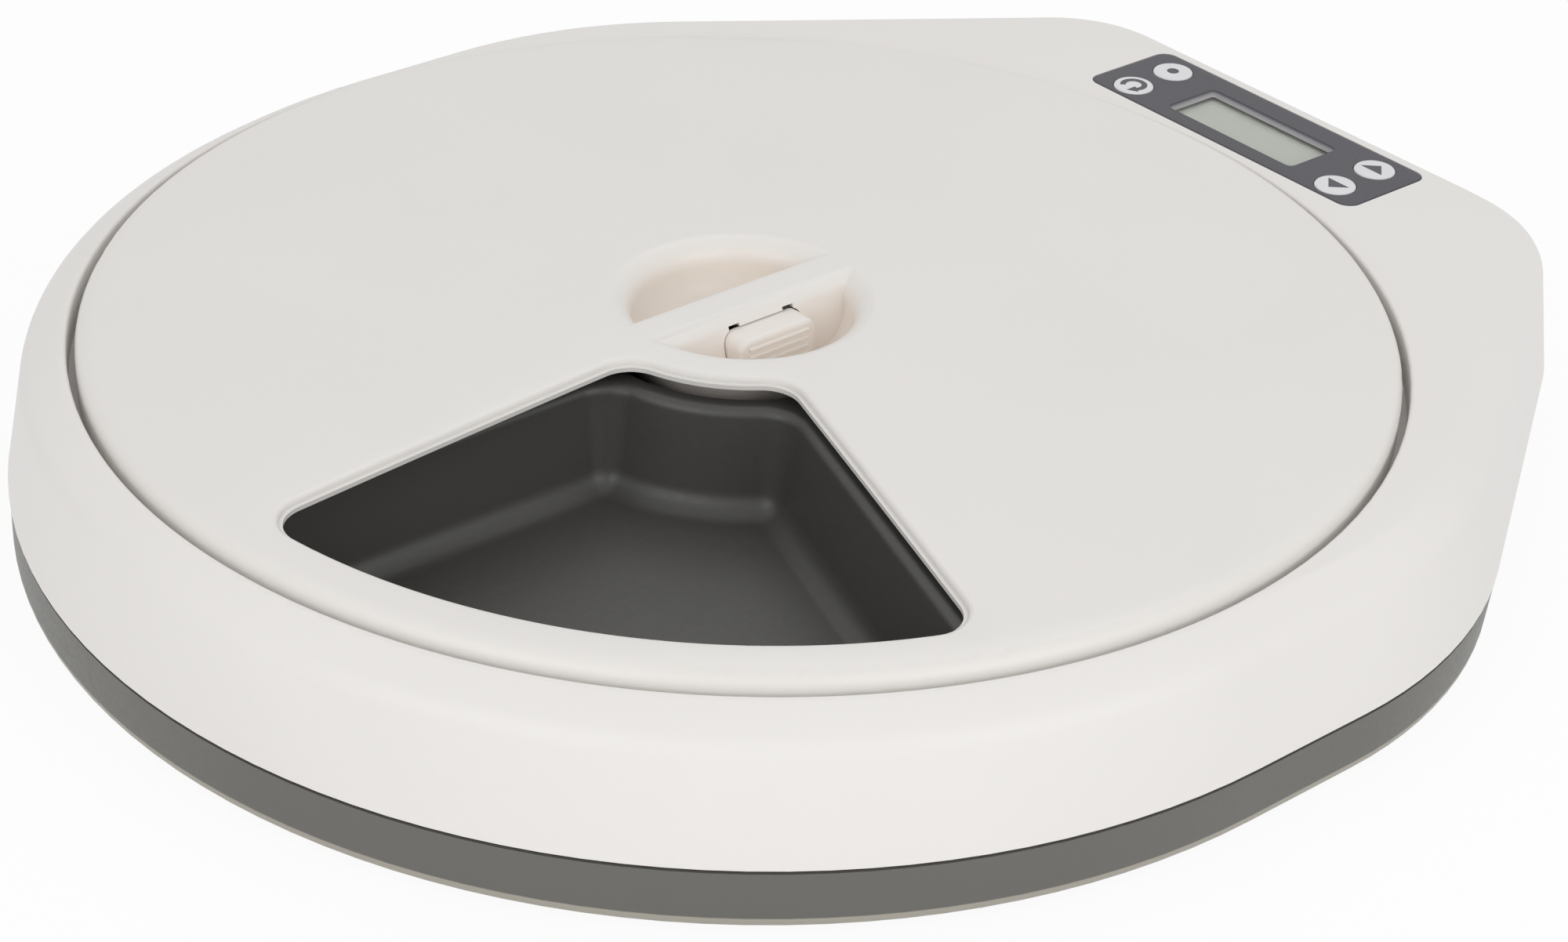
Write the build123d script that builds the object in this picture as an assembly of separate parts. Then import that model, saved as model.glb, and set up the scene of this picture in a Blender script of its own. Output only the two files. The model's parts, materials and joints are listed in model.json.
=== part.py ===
"""Automatic pet feeder: a low round housing, a turning tray of meals, and a lift-off lid with one opening.

Everything is drawn in millimetres about the tray's axis, with the floor at z = 0 and the control panel
towards +Y. The export step moves the whole so that the origin is the middle of the footprint.
"""
import os
from math import acos, atan2, cos, degrees, pi, radians, sin, sqrt, tan

from build123d import *

# Clearances and the walls that several pieces share
GAP = 0.4
LID_GAP = 1.8
TRAY_GAP = 1.8
CELL_FIT = 0.3
BAY_GAP = 1.4

# Round pieces seen from above, each from the one inside it
TRAY_R = 139.4
LEDGE_W = 4.8
RIM_W = 1.5
FRONT_BEVEL = 12.7
WELL_R = TRAY_R + TRAY_GAP
OPENING_R = WELL_R + LEDGE_W
LID_R = OPENING_R - LID_GAP
BODY_R = OPENING_R + RIM_W + FRONT_BEVEL

# Batteries, one row of three
CELL_R = 13.1
CELL_L = 50.0
CELL_COUNT = 3
BAY_WALL = 1.8
BAY_SPRING = 6.4
BAY_HALF = (CELL_COUNT * CELL_L + BAY_SPRING) / 2

# Housing, seen from above; the tail is about as wide as the row of batteries
TAIL_L = 32.8
TAIL_TUCK = 2.0
SIDE_Y = 65.5
REAR_Y = BODY_R + TAIL_L
REAR_HALF = BAY_HALF - TAIL_TUCK
SIDE_CORNER_R = 115.0
REAR_CORNER_R = 56.0
CREASE_CORNER_R = 36.5
FRONT_DRAFT = 4.4
TAIL_DRAFT = 4.7
TAIL_BEVEL = 13.5
CREASE_R = 7.0
RIM_CREASE_R = 2.5
WALL = 2.5

# Housing, heights above the floor
FOOT_H = 2.0
SEAM_Z = 16.1
SEAM_GAP = 0.9
RIM_Z = 46.0
SHOULDER_H = 5.5
CREASE_Z = RIM_Z - SHOULDER_H
DECK_Z = RIM_Z - WALL
BASE_INSET = 0.2
BASE_WALL = 4.0
BASE_FLOOR = 2.5
BASE_TOP = FOOT_H + BASE_FLOOR
BASE_EDGE_R = 2.5
BASE_EDGE_STEPS = 5
BASE_TAIL_DRAFT = 0.9
TONGUE_INSET = 3.5
TONGUE_T = 1.7
TONGUE_H = 4.0

# Gear train: each step is a small gear driving a large one
MODULE = 0.6
LARGE_TEETH = 40
SMALL_TEETH = 12
PRESSURE_ANGLE = 25.0
BACKLASH = 0.14
GEAR_W = 2.5
GEAR_STEP = GEAR_W + 0.5
PLATE_Z = 15.5
PLATE_T = 1.8
PLATE_TOP = PLATE_Z + PLATE_T
LEVELS = [PLATE_TOP + GAP + GEAR_STEP * k for k in range(3)]
AXLE_R = 1.5
SPINDLE_R = 2.5
MOTOR_R = 12.2
MOTOR_H = 10.4
SENSOR_R = 8.0
MAGNET_R = 1.5
MAGNET_H = 1.5

# Tray
POCKETS = 5
TRAY_ANGLE = -54.5
TRAY_TOP_Z = RIM_Z - 1.0
TRAY_WALL = 2.0
TRAY_LIP_H = 3.2
POCKET_DEPTH = 23.5
POCKET_FLOOR_Z = TRAY_TOP_Z - POCKET_DEPTH
POCKET_IN_R = 40.0
POCKET_EDGE = 3.9
POCKET_OUT_R = TRAY_R - POCKET_EDGE
DIVIDER_HALF = 4.5
POCKET_CORNER_R = 9.0
POCKET_TAPER = 9.5
POCKET_FILLET = 6.0
POCKET_RIM_R = 2.6
HUB_WELL_R = POCKET_IN_R - 6.0
DRIVE_HEX = 5.0
DRIVE_H = 3.4

# Well that the tray turns in, and the tower over the drive
WELL_WALL = 2.2
LEDGE_Z = RIM_Z - 8.0
WELL_FLOOR_Z = POCKET_FLOOR_Z - 4.9
TOWER_R = HUB_WELL_R - 1.6
TOWER_TOP = LEVELS[2] + GEAR_W + 0.6 + WELL_WALL
HUB_FLOOR_Z = TOWER_TOP + 1.1
RAIL_R = 92.0

# Lid
LID_TOP_Z = RIM_Z + 4.7
LID_EDGE_Z = RIM_Z + 2.8
LID_EDGE_R = 4.0
LID_WALL = 2.5
KEY_R = LID_R - 1.7
KEY_HALF = 3.5
KEY_H = 3.0
SERVING_ANGLE = -52.1
SERVING_HALF_ANGLE = 34.4
SERVING_IN_R = 37.2
SERVING_OUT_R = POCKET_OUT_R - 3.0
SERVING_SIDE = 4.5
SERVING_CORNER_R = 8.0
SERVING_EDGE_R = 1.3
SERVING_STEP = 0.7
SERVING_STEP_DEPTH = 1.5

# Sunk grip and push latch
DISH_R = 24.5
DISH_FLARE = 5.5
DISH_DEPTH = 13.7
DISH_FLOOR_Z = LID_TOP_Z - DISH_DEPTH
DISH_WALL = 2.5
HUB_R = DISH_R + 3.5
HUB_FOOT_R = 8.0
BAR_TOP_HALF = 5.6
BAR_FOOT_HALF = 10.0
BAR_EDGE_R = 4.4
LATCH_HALF = 10.8
LATCH_GAP = 0.3
LATCH_FRONT = 12.6
LATCH_CORNER_R = 3.0
LATCH_Z0 = DISH_FLOOR_Z + 0.9
LATCH_Z1 = LID_TOP_Z - 3.2
YOKE_Z0 = DISH_FLOOR_Z + 2.0
YOKE_Z1 = YOKE_Z0 + 1.8
HEAD_Z = YOKE_Z1 + 0.2
HEAD_R = 2.2
NECK_R = 1.5
RETAINER_T = 1.6
RETAINER_X = 6.4
RETAINER_Y = 14.4
LATCH_SCREW_Y = 11.5

# Control panel
PANEL_W = 88.0
PANEL_D = 28.0
PANEL_REAR = 30.2
PANEL_Y = REAR_Y - PANEL_REAR
PANEL_T = 1.4
WINDOW_W = 40.0
WINDOW_D = 15.0
WINDOW_Y = PANEL_Y - 0.8
BUTTON_R = 5.0
BUTTON_X = PANEL_W / 2 - 10.0
BUTTON_Y = PANEL_Y - 0.7
BUTTON_PITCH = 14.0
BUTTON_TRAVEL = 0.5
BOARD_W = PANEL_W + 12.0
BOARD_D = PANEL_D + 2.5
BOARD_Y = PANEL_Y + 2.6
BOARD_Z = RIM_Z - 10.0
BOARD_T = 1.6
POST_X = BOARD_W / 2 - 4.0
POST_ROWS = (PANEL_Y - 9.8, PANEL_Y + 14.7)
SWITCH_H = 3.2
SWITCH_TOP = BOARD_Z + BOARD_T + SWITCH_H

# Places of the batteries
CELL_Y = WELL_R + WELL_WALL + BAY_GAP + BAY_WALL + CELL_FIT + CELL_R
CELL_Z = BASE_TOP + CELL_R + 0.8
CONTACT_HALF = 8.0
DOOR_RIB_HALF = 30.0

# Feet and screws
FOOT_R = 7.0
FRONT_FOOT = (BODY_R - 55.2, 75.2 - BODY_R)
TAIL_FOOT = (BODY_R - 60.2, BODY_R - 55.2)
FOOT_AT = [(side * x, y) for x, y in (FRONT_FOOT, TAIL_FOOT) for side in (-1, 1)]
BOSS_R = OPENING_R + 2.5
BOSS_ANGLES = (-150, -90, -30)
TAIL_BOSS = (REAR_HALF + 21.8, CELL_Y - 32.0)
BOSS_FOOT_Z = 9.0
HEAD_ROOM = 2.5

CENTRE_Y = (REAR_Y - BODY_R) / 2


def outline(front, z, tail=None, corner_r=None):
    """The housing's plan at height z: its round front moved in by front, its straight tail by tail.

    The rear corners take corner_r, or what is left of the lowest radius after the move.
    """
    tail = front if tail is None else tail
    corner_r = REAR_CORNER_R - tail if corner_r is None else corner_r
    radius = BODY_R - front
    lean = atan2(REAR_Y - SIDE_Y, BODY_R - REAR_HALF)
    reach = BODY_R * sin(lean) + SIDE_Y * cos(lean) - tail
    side_y = (reach - radius * sin(lean)) / cos(lean)
    rear_y = REAR_Y - tail
    rear_x = (reach - rear_y * cos(lean)) / sin(lean)
    rim = Polyline(
        (-radius, 0), (-radius, side_y), (-rear_x, rear_y),
        (rear_x, rear_y), (radius, side_y), (radius, 0),
    ) + ThreePointArc((radius, 0), (0, -radius), (-radius, 0))
    face = make_face(rim)
    face = fillet(face.vertices().group_by(Axis.Y)[-1], corner_r)
    corners = [v for v in face.vertices() if abs(v.Y - side_y) < 0.01]
    return Pos(0, 0, z) * fillet(corners, SIDE_CORNER_R - tail)


def upper_outline(front, z, tail):
    """The plan at the crease or above it, where the rear corners are tighter."""
    return outline(front, z, tail, CREASE_CORNER_R + TAIL_DRAFT - tail)


def slab(inset, z0, z1):
    """The housing's plan as a plate from z0 to z1."""
    return extrude(outline(inset, z0), amount=z1 - z0)


def disc(radius, z0, z1, x=0.0, y=0.0):
    """A plain cylinder between two heights."""
    align = (Align.CENTER, Align.CENTER, Align.MIN)
    return Pos(x, y, z0) * Cylinder(radius, z1 - z0, align=align)


def block(x0, x1, y0, y1, z0, z1):
    """A box given by its limits."""
    centre = Pos((x0 + x1) / 2, (y0 + y1) / 2, (z0 + z1) / 2)
    return centre * Box(x1 - x0, y1 - y0, z1 - z0)


def plate(width, depth, corner, z0, z1, y=0.0, x=0.0):
    """A flat plate with round corners, centred at (x, y)."""
    return Pos(x, y, z0) * extrude(RectangleRounded(width, depth, corner), amount=z1 - z0)


def polar(radius, angle):
    """A point at a radius and an angle in degrees."""
    return (radius * cos(radians(angle)), radius * sin(radians(angle)))


def turned(points):
    """A ring turned from (radius, z) points."""
    face = make_face(Polyline(*[(r, 0, z) for r, z in points], close=True))
    return revolve(face, Axis.Z)


def sector(r_in, r_out, half_angle, side, corner):
    """A round-cornered piece of a ring about +X; its sides stand off the radial lines by side."""
    apex = side / sin(radians(half_angle))
    reach = 2 * r_out
    wedge = make_face(Polyline(
        (apex, 0),
        (apex + reach * cos(radians(half_angle)), -reach * sin(radians(half_angle))),
        (apex + reach * cos(radians(half_angle)), reach * sin(radians(half_angle))),
        close=True,
    ))
    face = (Circle(r_out) - Circle(r_in)) & wedge
    return fillet(face.vertices(), corner)


def spur_gear(teeth, width, phase):
    """A straight gear with a tooth centred at the angle phase, in degrees."""
    pitch_r = MODULE * teeth / 2
    base_r = pitch_r * cos(radians(PRESSURE_ANGLE))
    tip_r = pitch_r + 0.9 * MODULE
    root_r = pitch_r - 1.2 * MODULE
    involute = tan(radians(PRESSURE_ANGLE)) - radians(PRESSURE_ANGLE)
    half_pitch = (pi * MODULE / 2 - BACKLASH) / 2 / pitch_r

    def half_angle(radius):
        if radius <= base_r:
            return half_pitch + involute
        a = acos(base_r / radius)
        return half_pitch + involute - (tan(a) - a)

    flank = [root_r, max(base_r, root_r + 0.05), pitch_r, tip_r]
    points = []
    for tooth in range(teeth):
        middle = radians(phase) + 2 * pi * tooth / teeth
        left = [(r, middle - half_angle(r)) for r in flank]
        right = [(r, middle + half_angle(r)) for r in reversed(flank)]
        points += [(r * cos(a), r * sin(a)) for r, a in left + right]
    return extrude(make_face(Polyline(*points, close=True)), amount=width)


def screw(head_r, head_h, shank_r, length):
    """A pan-head screw pointing up, the head's seat at z = 0."""
    body = disc(head_r, -head_h, 0) + disc(shank_r, 0, length)
    body = chamfer(body.edges().group_by(Axis.Z)[0], head_h * 0.3)
    cross = block(-head_r * 0.6, head_r * 0.6, -0.3, 0.3, -head_h, -head_h * 0.45)
    return body - cross - Rot(0, 0, 90) * cross


BOSSES = [polar(BOSS_R, a) for a in BOSS_ANGLES] + [(-TAIL_BOSS[0], TAIL_BOSS[1]), TAIL_BOSS]
GEAR_C = MODULE * (LARGE_TEETH + SMALL_TEETH) / 2
AXIS_SECOND = polar(GEAR_C, 0)
AXIS_FIRST = polar(GEAR_C, 60)
AXIS_MOTOR = polar(GEAR_C, 120)
DRIVE_BOSSES = [polar(TOWER_R - 6.4, a) for a in (165, 240, 315)]
MAGNETS = [polar(SENSOR_R, TRAY_ANGLE + 360 / POCKETS * k) for k in range(POCKETS)]
BUTTONS = {
    "button_mode": (-BUTTON_X, BUTTON_Y + BUTTON_PITCH / 2),
    "button_cycle": (-BUTTON_X, BUTTON_Y - BUTTON_PITCH / 2),
    "button_up": (BUTTON_X, BUTTON_Y + BUTTON_PITCH / 2),
    "button_down": (BUTTON_X, BUTTON_Y - BUTTON_PITCH / 2),
}
BOARD_POSTS = [(x, y) for x in (-POST_X, POST_X) for y in POST_ROWS]
nodes = {}


# Upper casing: outer skin, well wall and bosses; the well's floor with the drive tower

def housing_skin():
    """The outer form: a drafted wall, a sloped shoulder and a flat top, with soft creases."""
    crease_face = upper_outline(FRONT_DRAFT, CREASE_Z, TAIL_DRAFT)
    wall = loft([outline(0, SEAM_Z), crease_face], ruled=True)
    shoulder = loft([crease_face, upper_outline(FRONT_BEVEL, RIM_Z, TAIL_BEVEL)], ruled=True)
    skin = wall + shoulder
    crease = [e for e in skin.edges() if abs(e.center().Z - CREASE_Z) < 0.01]
    skin = fillet(crease, CREASE_R)
    rim = [e for e in skin.edges() if abs(e.center().Z - RIM_Z) < 0.01]
    return fillet(rim, RIM_CREASE_R)


def casing_hollow():
    """The space inside the outer skin."""
    drop = 1.5
    middle = upper_outline(FRONT_DRAFT + WALL, CREASE_Z - drop, TAIL_DRAFT + WALL)
    low = loft([outline(WALL, SEAM_Z - 1), middle], ruled=True)
    high = loft([middle, upper_outline(FRONT_BEVEL + drop, DECK_Z, TAIL_BEVEL + drop)], ruled=True)
    return low + high


def make_casing():
    """The white upper half, with everything moulded into it."""
    body = housing_skin() - casing_hollow()
    body -= disc(OPENING_R, LEDGE_Z, RIM_Z + 5)
    rim = [e for e in body.edges().filter_by(GeomType.CIRCLE)
           if abs(e.center().Z - RIM_Z) < 0.01 and abs(e.radius - OPENING_R) < 0.1]
    body = fillet(rim, 0.8)
    body += turned([
        (OPENING_R, RIM_Z - 1.6), (OPENING_R, LEDGE_Z), (WELL_R, LEDGE_Z), (WELL_R, WELL_FLOOR_Z),
        (WELL_R + WELL_WALL, WELL_FLOOR_Z), (WELL_R + WELL_WALL, LEDGE_Z - WELL_WALL),
        (OPENING_R + WELL_WALL, LEDGE_Z - WELL_WALL), (OPENING_R + WELL_WALL, RIM_Z - 2.4),
    ])
    for side in (-1, 1):
        body += block(-KEY_HALF, KEY_HALF, side * KEY_R - 1.0, side * KEY_R + 1.0,
                      LEDGE_Z - 0.5, LEDGE_Z + KEY_H)
    for x, y in BOSSES:
        top = LEDGE_Z - 1 if y < 100 else DECK_Z + 1
        body += disc(4, BOSS_FOOT_Z, top, x, y)
        body -= disc(1.55, BOSS_FOOT_Z - 1, BOSS_FOOT_Z + 12, x, y)
    for x, y in BOARD_POSTS:
        body += disc(2.6, BOARD_Z + BOARD_T, DECK_Z + 1, x, y)
        body -= disc(0.95, BOARD_Z, BOARD_Z + BOARD_T + 5, x, y)
    body -= plate(PANEL_W + 0.5, PANEL_D + 0.5, 3.8, RIM_Z - PANEL_T, RIM_Z + 1, PANEL_Y)
    body -= plate(WINDOW_W + 4, WINDOW_D + 4, 2, DECK_Z - 1, RIM_Z, WINDOW_Y)
    for x, y in BUTTONS.values():
        body -= disc(BUTTON_R + 1, DECK_Z - 1, RIM_Z, x, y)
    return body


def make_well():
    """The well's floor, welded under its wall, with the rail and the tower over the drive."""
    outer_r = WELL_R + WELL_WALL
    under = WELL_FLOOR_Z - WELL_WALL
    inner_r = TOWER_R - WELL_WALL
    roof = TOWER_TOP - WELL_WALL
    body = turned([
        (outer_r, WELL_FLOOR_Z), (TOWER_R, WELL_FLOOR_Z), (TOWER_R, TOWER_TOP), (4.0, TOWER_TOP),
        (4.0, roof), (inner_r, roof), (inner_r, under), (outer_r, under),
    ])
    rail_top = POCKET_FLOOR_Z - TRAY_WALL - GAP
    body += disc(RAIL_R + 1, WELL_FLOOR_Z - 0.5, rail_top) - disc(RAIL_R - 1, WELL_FLOOR_Z - 1, rail_top)
    for x, y in DRIVE_BOSSES:
        post = disc(3.2, PLATE_TOP, TOWER_TOP - 1, x, y)
        body += post & disc(TOWER_R - 1, 0, TOWER_TOP)
        body -= disc(1.05, PLATE_Z, PLATE_Z + 8, x, y)
    for x, y in (AXIS_FIRST, AXIS_SECOND):
        body -= disc(AXLE_R + 0.05, roof - 1, TOWER_TOP - 0.8, x, y)
    return body


nodes["upper_casing"] = make_casing()
nodes["tray_well"] = make_well()


# Base pan with the battery bay, the door under it, feet and screws

def casing_room():
    """The space inside the upper casing's wall that a part of the base may fill, clear of that wall."""
    clear = WALL + 2 * GAP
    return loft([
        outline(clear, BASE_TOP - 1), outline(clear, SEAM_Z),
        upper_outline(FRONT_DRAFT + clear, CREASE_Z, TAIL_DRAFT + clear),
    ], ruled=True)


def base_skin(top):
    """The base's outer form up to top: a round lower edge, then a wall that leans in at the tail."""
    sections = []
    for step in range(BASE_EDGE_STEPS + 1):
        a = radians(90 * step / BASE_EDGE_STEPS)
        inset = BASE_INSET + BASE_EDGE_R * (1 - sin(a))
        z = FOOT_H + BASE_EDGE_R * (1 - cos(a))
        sections.append(outline(inset, z, inset + BASE_TAIL_DRAFT))
    sections.append(outline(BASE_INSET, top))
    return loft(sections, ruled=True)


def make_base():
    """The grey lower half: floor, wall, tongue, battery bay and screw pads."""
    top = SEAM_Z - SEAM_GAP
    body = base_skin(top)
    body -= slab(BASE_INSET + BASE_WALL, BASE_TOP, top + 1)
    tongue = slab(TONGUE_INSET, top - 1, top + TONGUE_H)
    body += tongue - slab(TONGUE_INSET + TONGUE_T, top - 2, top + TONGUE_H + 1)
    bay_y0, bay_y1 = CELL_Y - CELL_R - CELL_FIT, CELL_Y + CELL_R + CELL_FIT
    roof = CELL_Z + CELL_R + CELL_FIT
    bay = block(-BAY_HALF - BAY_WALL, BAY_HALF + BAY_WALL, bay_y0 - BAY_WALL, bay_y1 + BAY_WALL,
                BASE_TOP - 1, roof + BAY_WALL)
    body += bay & casing_room()
    body -= block(-BAY_HALF, BAY_HALF, bay_y0, bay_y1, 0, roof)
    for x in (-1, 1):
        for y0, y1 in ((bay_y0 - 0.5, bay_y0 + 2), (bay_y1 - 2, bay_y1 + 0.5)):
            body += block(x * 60 - 4, x * 60 + 4, y0, y1, BASE_TOP - 0.2, BASE_TOP + 1.5)
    for x, y in BOSSES:
        body += disc(5.4, BASE_TOP - 1, BOSS_FOOT_Z, x, y)
        body -= disc(1.75, 0, BOSS_FOOT_Z + 1, x, y)
        body -= disc(3.3, 0, BOSS_FOOT_Z - HEAD_ROOM, x, y)
    for x, y in FOOT_AT:
        body -= disc(FOOT_R + 0.2, 0, FOOT_H + 1.2, x, y)
    return body


def make_door():
    """The battery door: a flat plate with a finger groove on its underside."""
    y0, y1 = CELL_Y - CELL_R, CELL_Y + CELL_R
    body = block(-BAY_HALF + GAP, BAY_HALF - GAP, y0, y1, FOOT_H, BASE_TOP - 0.2)
    body = fillet(body.edges().filter_by(Axis.Z), 2.0)
    groove = Pos(0, y0 + 7, FOOT_H - 3.2) * Rot(0, 90, 0) * Cylinder(4.5, 24)
    for k in range(5):
        rib_y = y1 - 11 + 2 * k
        body -= block(-DOOR_RIB_HALF, DOOR_RIB_HALF, rib_y, rib_y + 1, FOOT_H - 1, FOOT_H + 0.5)
    return body - groove


def make_feet():
    """Four rubber pads, one node."""
    foot = disc(FOOT_R, 0, FOOT_H + 1.2)
    foot = fillet(foot.edges().group_by(Axis.Z)[0], 0.7)
    return Compound([Pos(x, y, 0) * foot for x, y in FOOT_AT])


nodes["base_pan"] = make_base()
nodes["battery_door"] = make_door()
nodes["rubber_feet"] = make_feet()
nodes["casing_screws"] = Compound(
    [Pos(x, y, BOSS_FOOT_Z - HEAD_ROOM) * screw(2.9, 1.9, 1.45, 12) for x, y in BOSSES])


# Batteries and their contacts

def make_cells():
    """Three cells in one row along X; each has a short nub at its +X end."""
    nub = 1.5
    body = Rot(0, 90, 0) * Cylinder(CELL_R, CELL_L - nub, align=(Align.CENTER, Align.CENTER, Align.MIN))
    body = fillet(body.edges(), 0.8)
    body += Pos(CELL_L - nub, 0, 0) * Rot(0, 90, 0) * Cylinder(
        3.3, nub, align=(Align.CENTER, Align.CENTER, Align.MIN))
    start = BAY_HALF - 0.6 - CELL_COUNT * CELL_L
    return [Pos(start + k * CELL_L, CELL_Y, CELL_Z) * body for k in range(CELL_COUNT)]


def coil(radius, wire, turns, length):
    """A compression spring from z = 0 to z = length, with its wire centred inside that length."""
    rise = length - 2 * wire
    path = Helix(pitch=rise / turns, height=rise, radius=radius)
    profile = Plane(origin=path @ 0, z_dir=path % 0) * Circle(wire)
    return Pos(0, 0, wire) * sweep(profile, path)


for number, cell in enumerate(make_cells(), 1):
    nodes[f"battery_cell_{number}"] = cell
spring_x = BAY_HALF - 0.6 - CELL_COUNT * CELL_L
nodes["battery_spring"] = Pos(-BAY_HALF + 0.6, CELL_Y, CELL_Z) * Rot(0, 90, 0) * coil(
    4.5, 0.45, 3, spring_x + BAY_HALF - 0.7)
nodes["battery_contacts"] = Compound([
    Pos(x, CELL_Y, CELL_Z) * Box(0.45, 2 * CONTACT_HALF, 2 * CONTACT_HALF)
    for x in (BAY_HALF - 0.275, -BAY_HALF + 0.275)
])


# Control panel, display, buttons and the board behind them

def make_panel():
    """The dark plate on the rear deck, with a sunk window and four round holes."""
    body = plate(PANEL_W, PANEL_D, 3.5, RIM_Z - PANEL_T, RIM_Z + 0.1, PANEL_Y)
    edges = body.edges().group_by(Axis.Z)[-1]
    body = fillet(edges, 0.4)
    body -= plate(WINDOW_W, WINDOW_D, 0.8, RIM_Z - PANEL_T - 1, RIM_Z + 1, WINDOW_Y)
    upper = body.edges().group_by(Axis.Z)[-1]
    window = upper.filter_by(lambda e: abs(e.center().X) <= WINDOW_W / 2 + 0.1
                             and abs(e.center().Y - WINDOW_Y) <= WINDOW_D / 2 + 0.1)
    body = chamfer(window, 0.9)
    for x, y in BUTTONS.values():
        body -= disc(BUTTON_R + 0.2, 0, RIM_Z + 1, x, y)
    return body


def make_button(x, y):
    """A round key: cap, collar under the panel and a stem down to its switch."""
    cap = disc(BUTTON_R, RIM_Z - 2.6, RIM_Z + 0.45, x, y)
    cap = fillet(cap.edges().group_by(Axis.Z)[-1], 0.5)
    cap += disc(BUTTON_R + 0.6, RIM_Z - 2.9, RIM_Z - PANEL_T - 0.15, x, y)
    return cap + disc(1.5, SWITCH_TOP + BUTTON_TRAVEL + 0.05, RIM_Z - 2.5, x, y)


def make_board():
    """The circuit board with four fixing holes."""
    body = plate(BOARD_W, BOARD_D, 2, BOARD_Z, BOARD_Z + BOARD_T, BOARD_Y)
    for x, y in BOARD_POSTS:
        body -= disc(1.2, BOARD_Z - 1, BOARD_Z + 5, x, y)
    return body


nodes["control_panel"] = make_panel()
nodes["display_window"] = plate(
    WINDOW_W + 3.4, WINDOW_D + 3.4, 1.5, RIM_Z - PANEL_T - 1, RIM_Z - PANEL_T, WINDOW_Y)
nodes["lcd_module"] = (
    plate(WINDOW_W + 8, WINDOW_D + 6, 1, BOARD_Z + BOARD_T, DECK_Z - GAP, WINDOW_Y + 0.4)
    + plate(WINDOW_W + 3, WINDOW_D + 3, 1, DECK_Z - 1, DECK_Z - 0.05, WINDOW_Y))
for name, (x, y) in BUTTONS.items():
    nodes[name] = make_button(x, y)
nodes["key_switches"] = Compound([
    block(x - 3, x + 3, y - 3, y + 3, BOARD_Z + BOARD_T, SWITCH_TOP - 1)
    + disc(1.7, SWITCH_TOP - 1.2, SWITCH_TOP, x, y)
    for x, y in BUTTONS.values()])
nodes["control_board"] = make_board()
nodes["board_screws"] = Compound(
    [Pos(x, y, BOARD_Z) * screw(2.0, 1.3, 0.9, 5) for x, y in BOARD_POSTS])


# Drive: plate, motor, three gear steps, spindle and index sensor

def compound_gear(large_z, small_z, small_top, large_phase, small_phase):
    """A large and a small gear in one piece, loose on an axle."""
    body = Pos(0, 0, large_z) * spur_gear(LARGE_TEETH, GEAR_W, large_phase)
    body += Pos(0, 0, large_z) * spur_gear(SMALL_TEETH, small_top - large_z, small_phase)
    foot = PLATE_TOP + 0.15
    if large_z - foot > 0.5:
        body += disc(2.5, foot, large_z + 0.5)
    return body - disc(AXLE_R + 0.15, 0, TOWER_TOP)


def bearing(start, end):
    """The direction from one axis to another, in degrees."""
    return degrees(atan2(end[1] - start[1], end[0] - start[0]))


def mesh_gap(start, end):
    """The turn that puts the middle of a tooth space of a small gear on the line between two axes."""
    return bearing(start, end) + 180.0 / SMALL_TEETH


def make_drive_plate():
    """The plate that carries the motor and the axles, screwed under the tower."""
    body = disc(TOWER_R - WELL_WALL - GAP, PLATE_Z, PLATE_Z + PLATE_T)
    body -= disc(3.3, 0, RIM_Z, *AXIS_MOTOR)
    body -= disc(SPINDLE_R + 0.15, 0, RIM_Z)
    for x, y in (AXIS_FIRST, AXIS_SECOND):
        body -= disc(AXLE_R + 0.05, 0, RIM_Z, x, y)
    for x, y in DRIVE_BOSSES:
        body -= disc(1.25, 0, RIM_Z, x, y)
    return body


def make_motor():
    """A flat can motor with its shaft boss up and two terminals below the rim."""
    x, y = AXIS_MOTOR
    body = disc(MOTOR_R, PLATE_Z - MOTOR_H, PLATE_Z, x, y)
    body = fillet(body.edges(), 0.8)
    body += disc(3.0, PLATE_Z - 0.5, PLATE_TOP - 0.3, x, y)
    for side in (-1, 1):
        px, py = x - MOTOR_R - 1, y + side * 3
        body += block(px - 1, px + 2, py - 1, py + 1, PLATE_Z - MOTOR_H + 1.0, PLATE_Z - MOTOR_H + 1.4)
    return body - disc(1.15, PLATE_Z - 4, PLATE_Z + 4, x, y)


def make_spindle():
    """The upright shaft: journal, shoulder, six-sided drive, neck and head."""
    body = turned([
        (0, PLATE_Z + 0.1), (SPINDLE_R, PLATE_Z + 0.1), (SPINDLE_R, HUB_FLOOR_Z - 0.6),
        (7, HUB_FLOOR_Z - 0.6), (7, HUB_FLOOR_Z), (NECK_R, HUB_FLOOR_Z), (NECK_R, HEAD_Z),
        (HEAD_R, HEAD_Z + 0.6), (HEAD_R, HEAD_Z + 1.6), (NECK_R, HEAD_Z + 2.4), (0, HEAD_Z + 2.4),
    ])
    drive = extrude(RegularPolygon(DRIVE_HEX, 6, major_radius=False), amount=DRIVE_H)
    drive = Pos(0, 0, HUB_FLOOR_Z) * drive
    return body + drive


def make_output_gear():
    """The last large gear, with pockets in its underside for the index magnets."""
    z = LEVELS[2]
    body = Pos(0, 0, z) * spur_gear(LARGE_TEETH, GEAR_W, bearing((0, 0), AXIS_SECOND))
    for x, y in MAGNETS:
        body -= disc(MAGNET_R + 0.1, z - 1, z + MAGNET_H + 0.1, x, y)
    return body - disc(SPINDLE_R + 0.03, 0, RIM_Z)


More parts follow.
